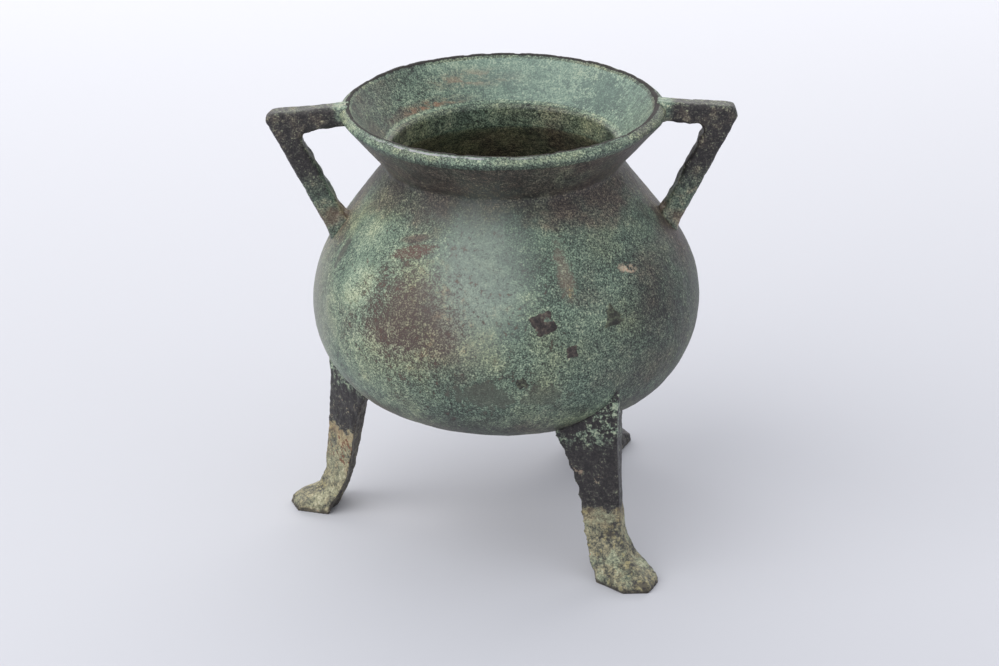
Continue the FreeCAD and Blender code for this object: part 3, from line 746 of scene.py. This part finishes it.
    green = m.mix(m.ramp(tone, TEAL), m.ramp(tone, MOSS), m.span(moss, 0.0, 1.0))
    colour = m.mix(green, m.ramp(tone, BROWN), m.span(brown, 0.05, 0.85))

    brown_specks = m.span(m.total(0.0, (fine, 1.2), (grit, 0.7), (clump, 0.4)), 0.06, -0.08)
    stray = m.maths("MULTIPLY", scatter, m.span(m.total(0.0, (grit, 1.0), (clump, 0.9)), -0.14, -0.26))
    rusty = m.maths("MULTIPLY", m.maths("SUBTRACT", scatter, blotch_heart),
                    m.span(m.total(0.0, (fine, 0.7), (clump, 1.3)), 0.10, 0.22))
    # Dark specks kept inside the painted highlight.
    pepper = m.maths("MULTIPLY", painted_highlight, m.span(m.total(0.0, (fine, 1.0), (grit, 1.0)), -0.16, -0.24))
    dots = m.span(m.total(0.0, (fine, 1.0), (grit, 1.0)), 0.0, 0.14)
    layers = (
        # Grey-blue colour of the painted highlight on the belly.
        (tint(134, 142, 137), m.maths("MULTIPLY", painted_highlight, 0.42)),
        (tint(132, 128, 118), m.maths("MULTIPLY", left, 0.50)),
        (tint(82, 66, 61), m.maths("MULTIPLY", m.maths("MULTIPLY", blotch, brown_specks), 0.85)),
        (tint(72, 60, 58), m.maths("MULTIPLY", blotch_heart, 0.22)),
        (tint(96, 74, 62), m.maths("MULTIPLY", stray, 0.75)),
        (tint(122, 90, 72), m.maths("MULTIPLY", rusty, 0.60)),
        (tint(74, 76, 72), m.maths("MULTIPLY", pepper, 0.60)),
        (tint(92, 60, 53), m.maths("MULTIPLY", lens, m.span(fine, 0.30, -0.20))),
        (tint(90, 76, 66), m.maths("MULTIPLY", m.maths("MULTIPLY", faint, dots), 0.80)),
        (tint(70, 66, 62), m.maths("MULTIPLY", comma, 0.75)),
        (tint(86, 91, 79), m.maths("MULTIPLY", flake, 0.60)),
        (tint(82, 83, 72), m.maths("MULTIPLY", flake_tail, 0.50)),
        (tint(142, 126, 110), m.maths("MULTIPLY", streak, 0.30)),
        (tint(178, 150, 100), m.maths("MULTIPLY", m.maths("MULTIPLY", tan_fleck, dots), 0.70)),
        (tint(206, 190, 165), m.maths("MULTIPLY", scar, 0.85)),
        (tint(176, 104, 66), m.maths("MULTIPLY", scar_heart, 0.9)),
        # Pale grey-violet colour of the painted glint on the lip crest.
        (tint(168, 168, 172), m.maths("MULTIPLY", painted_crest_glint, m.span(clump, -0.10, 0.12))),
        (tint(146, 96, 70), m.maths("MULTIPLY", warm, 0.75)),
        (tint(140, 166, 156), m.maths("MULTIPLY", bright, 0.40)),
        (tint(46, 41, 40), m.maths("MULTIPLY", edge, 0.90)),
    )
    for layer, share in layers:
        colour = m.mix(colour, layer, share)
    roughness = m.total(0.50, (fine, 0.45), (clump, 0.25), (painted_highlight, -0.08), (left, -0.08),
                        (edge, 0.35), (painted_crest_glint, -0.25), (blotch, 0.05), (flake, -0.06), (belly_in, 0.15))
    relief = m.total(0.5, (fine, 0.8), (grit, 1.3), (clump, 0.9), (lens, -0.4), (flake, -0.35))
    return m.finish(colour, roughness, relief, 0.00022)


def ear_patina():
    """Sooty bars with grey-green speckle, paler where they meet the rim and shoulder."""
    m = Patina("ear_patina")
    fine = m.noise(0.0009, 2.0, 0.65)
    grit = m.noise(0.0022, 3.0, 0.6)
    clump = m.noise(0.0075, 3.0, 0.6)
    z = m.total(m.height(), (clump, 0.020))
    reach = m.maths("ABSOLUTE", m.towards(m.place, 0.0))
    reach = m.total(reach, (grit, 0.003), (clump, 0.006))
    low = m.span(z, 0.212, 0.172)
    root = m.maths("MULTIPLY", m.span(reach, 0.0895, 0.0835), m.span(z, 0.221, 0.226))
    # Faces whose normal points up and towards +x get lighter and mossier: partly mossy specks, partly
    # a painted highlight along the top of the bars.
    top = m.span(m.towards(m.facing, 0.0, 1.0), 0.35, 0.9)
    heel = m.spot(180.0, 172.0, 6.0, 9.0, clump, 1.4, 0.4)
    heel_right = m.spot(0.0, 168.0, 6.0, 8.0, clump, 1.4, 0.4)
    deposit = m.spot(180.0, 224.5, 3.0, 2.6, grit, 2.2, 0.3, 0.0, 0.0868)
    specks = m.total(0.0, (fine, 1.5), (grit, 1.0))
    tone = m.total(0.45, (specks, 1.0), (clump, 0.5), (low, 0.09), (root, 0.13), (top, 0.10))
    mossy = m.span(m.total(0.0, (low, 0.70), (clump, 0.9), (root, 0.6), (top, 0.3)), 0.1, 0.9)
    green = m.mix(m.ramp(tone, SOOT), m.ramp(tone, TEAL), mossy)
    brown = m.total(0.30, (clump, 1.8), (grit, 0.6), (heel, 0.7), (heel_right, 0.7))
    colour = m.mix(green, m.ramp(tone, BROWN), m.span(brown, 0.2, 0.9))
    colour = m.mix(colour, tint(196, 152, 118), m.maths("MULTIPLY", deposit, 0.8))
    heels = m.maths("ADD", heel, heel_right)
    colour = m.mix(colour, tint(140, 114, 94), m.maths("MULTIPLY", heels, 0.30))
    roughness = m.total(0.50, (fine, 0.5), (clump, 0.4))
    relief = m.total(0.5, (fine, 0.9), (grit, 1.4), (clump, 1.0))
    return m.finish(colour, roughness, relief, 0.00030)


def leg_patina(name, azimuth, line, streaks):
    """Sooty shank with green crust at the root; below a ragged line a pale limy foot."""
    m = Patina(name)
    fine = m.noise(0.0009, 2.0, 0.65)
    grit = m.noise(0.0024, 3.0, 0.6)
    clump = m.noise(0.0070, 3.0, 0.65)
    patch = m.noise(0.0125, 3.0, 0.6, m.moved((0.3, 0.1, 0.2), 0.0, 0.0, (1.0, 1.0, 1.0)))
    z = m.height()
    ragged = m.total(z, (grit, 0.010), (clump, 0.020))
    limed = m.span(ragged, line + 0.0012, line - 0.0012)
    back = m.span(m.total(0.0, (m.towards(m.facing, azimuth), 1.0), (clump, 0.5)), -0.05, -0.30)
    limed = m.maths("MULTIPLY", limed, m.maths("SUBTRACT", 1.0, m.maths("MULTIPLY", back, 0.85)))
    top_edge = m.maths("MULTIPLY", m.band(ragged, line - 0.0085, line, 0.0020), limed)
    root = m.span(m.total(z, (clump, 0.030)), 0.066, 0.088)
    crusty = m.span(m.total(0.0, (clump, 1.0), (grit, 0.8), (fine, 0.4)), -0.04, 0.14)
    crust = m.maths("MULTIPLY", root, crusty)
    pinks = m.maths("MULTIPLY", m.band(z, 0.050, 0.068, 0.004),
                    m.span(m.total(0.0, (clump, 1.0), (grit, 0.7)), 0.16, 0.24))
    specks = m.total(0.0, (fine, 1.3), (grit, 1.2))
    dark_tone = m.total(0.42, (specks, 1.0), (clump, 0.5), (root, 0.08), (crust, 0.15))
    dark = m.mix(m.ramp(dark_tone, SOOT), m.ramp(dark_tone, TEAL), m.maths("MULTIPLY", crust, 0.9))
    dark = m.mix(dark, tint(158, 138, 118), m.maths("MULTIPLY", pinks, 0.8))
    dark = m.mix(dark, m.ramp(dark_tone, BROWN), m.maths("MULTIPLY", back, 0.55))
    pale_tone = m.total(0.51 + 0.05 * streaks, (fine, 1.1), (grit, 1.0), (clump, 0.95),
                        (patch, 0.55))
    pale = m.ramp(pale_tone, LIME)
    holes = m.span(m.total(0.0, (clump, 1.0), (grit, 0.5), (patch, 0.7)), -0.10, -0.24)
    islands = m.span(m.total(0.0, (patch, 1.0), (grit, 0.4)), 0.00, 0.12)
    yellow = m.span(m.total(0.0, (clump, -1.0), (grit, 0.6), (patch, -0.6)), 0.10, 0.20)
    orange = m.span(m.total(0.0, (grit, 1.0), (patch, 0.5), (fine, 0.3)), 0.27, 0.31)
    pale = m.mix(pale, m.ramp(pale_tone, TEAL), m.maths("MULTIPLY", islands, 0.50 - 0.25 * streaks))
    pale = m.mix(pale, tint(184, 172, 122), m.maths("MULTIPLY", yellow, 0.50))
    pale = m.mix(pale, tint(62, 58, 57), m.maths("MULTIPLY", holes, 0.75))
    pale = m.mix(pale, tint(176, 92, 50), m.maths("MULTIPLY", orange, 0.8))
    pale = m.mix(pale, tint(172, 146, 108), m.maths("MULTIPLY", top_edge, 0.15 + 0.25 * streaks))
    if streaks:
        slant = m.noise(0.0011, 3.0, 0.6, m.moved((0.0, 0.0, 0.0), azimuth, 38.0, (2.0, 1.0, 4.5)))
        zone = m.band(z, 0.026, 0.047, 0.004)
        strokes = m.span(m.total(0.0, (slant, 1.0), (clump, 0.5)), 0.06, 0.15)
        scratch = m.maths("MULTIPLY", zone, strokes)
        pale = m.mix(pale, tint(112, 66, 50), m.maths("MULTIPLY", scratch, 0.85 * streaks))
    sole = m.span(m.total(z, (grit, 0.004)), 0.0032, 0.0012)
    pale = m.mix(pale, tint(54, 48, 46), m.maths("MULTIPLY", sole, 0.8))
    colour = m.mix(dark, pale, limed)
    roughness = m.total(0.48, (fine, 0.5), (clump, 0.3), (limed, 0.14))
    relief = m.total(0.5, (fine, 0.8), (grit, 1.3), (clump, 1.0), (crust, 0.5), (limed, 0.4),
                     (holes, -0.3))
    return m.finish(colour, roughness, relief, 0.00034)


def chaplet_patina(name, mid, ramp):
    """Bare scrap of another metal, browner and smoother than the skin round it."""
    m = Patina(name)
    fine = m.noise(0.0011, 2.0, 0.6)
    grit = m.noise(0.0026, 2.0, 0.6)
    clump = m.noise(0.0060, 3.0, 0.6)
    tone = m.total(mid, (fine, 0.9), (grit, 1.0), (clump, 0.9))
    green = m.span(m.total(0.0, (grit, 1.0), (clump, 1.0)), 0.14, 0.26)
    colour = m.mix(m.ramp(tone, ramp), m.ramp(tone, TEAL), green)
    roughness = m.total(0.48, (fine, 0.4), (clump, 0.3))
    relief = m.total(0.5, (fine, 0.8), (grit, 1.2), (clump, 0.8))
    return m.finish(colour, roughness, relief, 0.00025)


# ---------------------------------------------------------------- the object

# Node, corners, reach in mm, spin in degrees.
CHAPLETS = (
    ("chaplet_front_large", 4, 7.4, 25.0), ("chaplet_front_triangle", 3, 7.6, 25.0),
    ("chaplet_front_small", 4, 4.0, 40.0), ("chaplet_front_low", 4, 3.6, 10.0),
    ("chaplet_right_upper", 4, 6.6, 15.0), ("chaplet_back_upper", 5, 6.8, 30.0),
    ("chaplet_left_upper", 4, 6.2, 50.0), ("chaplet_back_lower", 3, 6.6, 10.0),
    ("chaplet_left_lower", 4, 5.8, 35.0), ("chaplet_base_front", 4, 6.4, 25.0),
    ("chaplet_base_right", 4, 6.0, 5.0), ("chaplet_base_back", 3, 6.8, 60.0),
)
# Side, azimuth in degrees, sideways turn of the toe in mm, height of the lime line in metres,
# share of rust streaks. The back leg's line is at its sole, so that foot is dark.
LEGS = (("left", 171.0, 0.0, 0.049, 1.0), ("front", -54.5, -0.6, 0.037, 0.0),
        ("back", 59.0, 0.0, 0.002, 0.0))

make_camera()
make_floor()
make_lights()
make_pot().data.materials.append(pot_patina())
ear_material = ear_patina()
for seed, side in enumerate(("left", "right")):
    make_ear(side, 100 + 10 * seed).data.materials.append(ear_material)
for seed, (side, azimuth, toe_turn, line, streaks) in enumerate(LEGS):
    leg = make_leg(side, azimuth, toe_turn * MM, 200 + 10 * seed)
    leg.data.materials.append(leg_patina(f"{side}_leg_patina", azimuth, line, streaks))
scrap_materials = (chaplet_patina("scrap_brown", 0.27, BROWN),
                   chaplet_patina("scrap_olive", 0.30, MOSS))
for seed, (node, corners, reach, spin) in enumerate(CHAPLETS):
    scrap = make_chaplet(node, corners, reach * MM, spin, 300 + 10 * seed)
    scrap.data.materials.append(scrap_materials[seed % 2])
